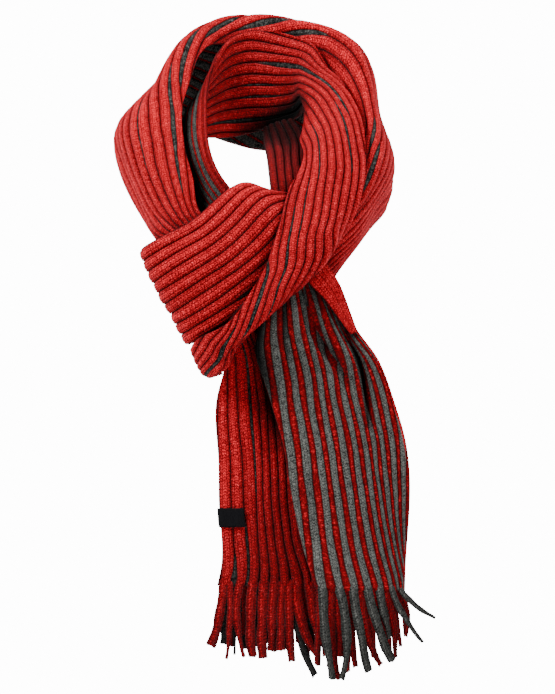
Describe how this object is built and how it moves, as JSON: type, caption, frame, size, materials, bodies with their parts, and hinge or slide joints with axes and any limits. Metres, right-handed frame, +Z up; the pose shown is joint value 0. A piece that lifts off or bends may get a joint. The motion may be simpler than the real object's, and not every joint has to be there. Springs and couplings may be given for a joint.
{
  "type": "knit scarf, wound round the neck and knotted",
  "caption": "Chunky ribbed knit scarf in two colours, wound round the neck and tied in front, both fringed tails hanging.",
  "frame": {"origin": "where the back of the wearer's neck rests against the inner loop, on the tops of its ribs", "axes": "+Z up, -Y to the wearer's front, +X to the right in a view from the front"},
  "size_m": [0.3277, 0.2829, 0.6665],
  "materials": {
    "red_knit": "matt ribbed knit, right side",
    "charcoal_knit": "matt heathered ribbed knit, reverse side",
    "black_label": "plain woven label"
  },
  "bodies": {
    "root": {"back_outer": "red_knit", "fringe_left": "red_knit", "fringe_right": "charcoal_knit", "front_roll": "red_knit", "knot_back": "red_knit", "knot_front": "red_knit", "label": "black_label", "left_outer": "red_knit", "neck_back": "red_knit", "neck_left": "charcoal_knit", "neck_right": "red_knit", "right_outer": "red_knit", "tail_left": "red_knit", "tail_right": "charcoal_knit", "tail_turnover": "red_knit"}
  },
  "joints": []
}
